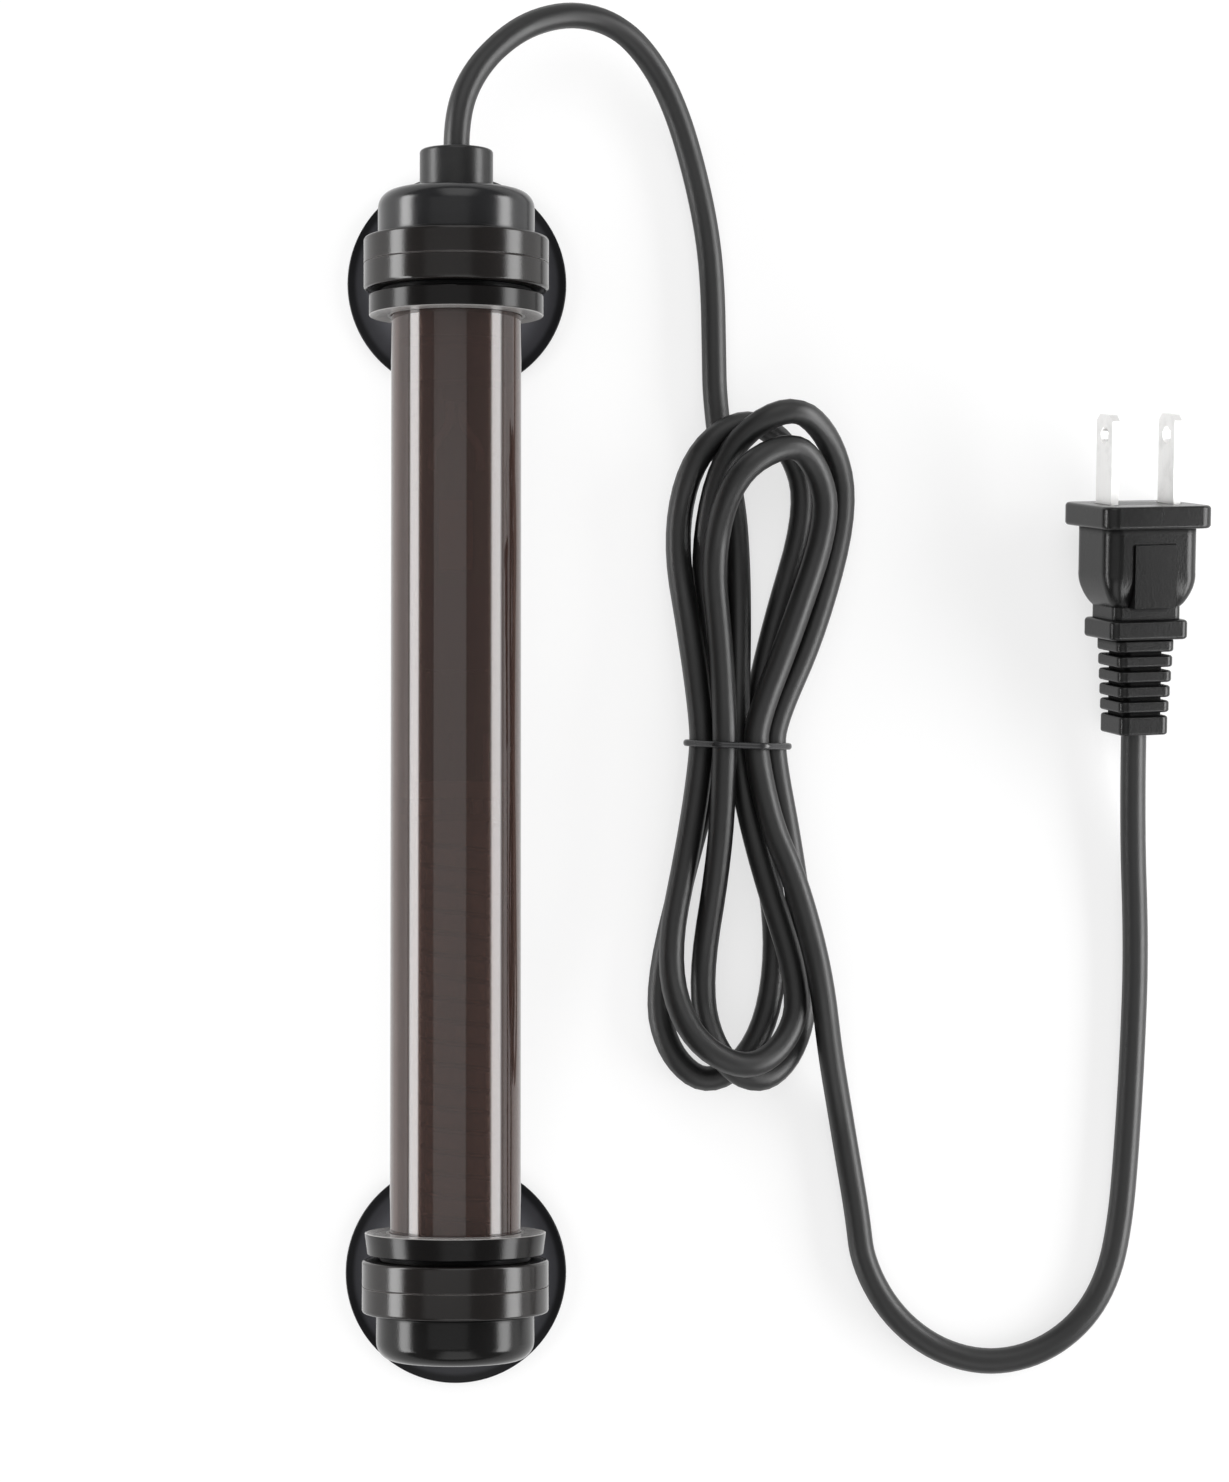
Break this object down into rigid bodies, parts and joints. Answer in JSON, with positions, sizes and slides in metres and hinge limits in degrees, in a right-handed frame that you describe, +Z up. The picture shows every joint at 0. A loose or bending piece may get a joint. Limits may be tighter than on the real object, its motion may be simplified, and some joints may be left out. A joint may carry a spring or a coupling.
{
  "type": "submersible aquarium heater",
  "caption": "Submersible aquarium heater: smoked glass tube between rounded end caps, with turning suction-cup collars, a tied power cord and a flat-pin plug.",
  "frame": {"origin": "on the surface the suction cups stand on, under the middle of the heater without its cord", "axes": "+Y along the heater's axis towards the cord end, +Z up from the suction cups, +X to the side where the cord and plug lie"},
  "size_m": [0.1588, 0.2545, 0.0428],
  "materials": {
    "smoked_glass": "clear smoked brown, polished",
    "cap_plastic": "satin black",
    "collar_plastic": "satin black",
    "flange_plastic": "satin black",
    "gland_rubber": "matt black",
    "cup_rubber": "soft black, faintly blue",
    "cord_jacket": "satin black",
    "tie_plastic": "black",
    "plug_plastic": "fine-grained satin black",
    "insert_plastic": "black",
    "pin_metal": "nickel plated, bright",
    "stopper_rubber": "matt dark grey",
    "seal_rubber": "black",
    "silicone": "matt grey silicone",
    "clamp_steel": "brushed",
    "core_ceramic": "unglazed white",
    "heater_wire": "dull nickel-chrome",
    "mica": "mica sheet",
    "fibre": "white fibre pad",
    "board": "dark green laminate",
    "component": "black moulded",
    "film_capacitor": "ochre lacquer",
    "wire_insulation": "grey insulation"
  },
  "bodies": {
    "heater": {"quartz_tube": "smoked_glass", "head_cap": "cap_plastic", "cord_gland": "gland_rubber", "cord_clamp": "clamp_steel", "cord_entry": "cord_jacket", "foot_cap": "cap_plastic", "foot_cushion": "silicone", "lower_flange": "flange_plastic", "upper_flange": "flange_plastic", "tube_stopper": "stopper_rubber", "stopper_seals": "seal_rubber", "ceramic_core": "core_ceramic", "heating_coil": "heater_wire", "core_discs": "mica", "heat_shield": "fibre", "control_board": "board", "relay": "component", "capacitor": "film_capacitor", "thermal_fuse": "component", "temperature_sensor": "component", "supply_wires": "wire_insulation", "coil_leads": "wire_insulation", "cord_lead": "cord_jacket", "cord_hank": "cord_jacket", "cord_tail": "cord_jacket", "hank_tie": "tie_plastic", "plug_body": "plug_plastic", "plug_insert": "insert_plastic", "plug_pin_left": "pin_metal", "plug_pin_right": "pin_metal", "plug_wires": "wire_insulation"},
    "upper_collar": {"upper_collar_base": "collar_plastic", "upper_collar_cover": "collar_plastic"},
    "lower_collar": {"lower_collar_base": "collar_plastic", "lower_collar_cover": "collar_plastic"},
    "upper_cup": {"upper_suction_cup": "cup_rubber"},
    "lower_cup": {"lower_suction_cup": "cup_rubber"}
  },
  "joints": [
    {"name": "upper_collar_turn", "type": "hinge", "parent": "heater", "child": "upper_collar", "pos_m": [0, 0.0917, 0.02606], "axis": [0, 1, 0], "continuous": true},
    {"name": "upper_cup_turn", "type": "hinge", "parent": "upper_collar", "child": "upper_cup", "pos_m": [0, 0.0917, 0.004], "axis": [0, 0, 1], "continuous": true},
    {"name": "lower_collar_turn", "type": "hinge", "parent": "heater", "child": "lower_collar", "pos_m": [0, -0.092, 0.02606], "axis": [0, 1, 0], "continuous": true},
    {"name": "lower_cup_turn", "type": "hinge", "parent": "lower_collar", "child": "lower_cup", "pos_m": [0, -0.092, 0.004], "axis": [0, 0, 1], "continuous": true}
  ]
}
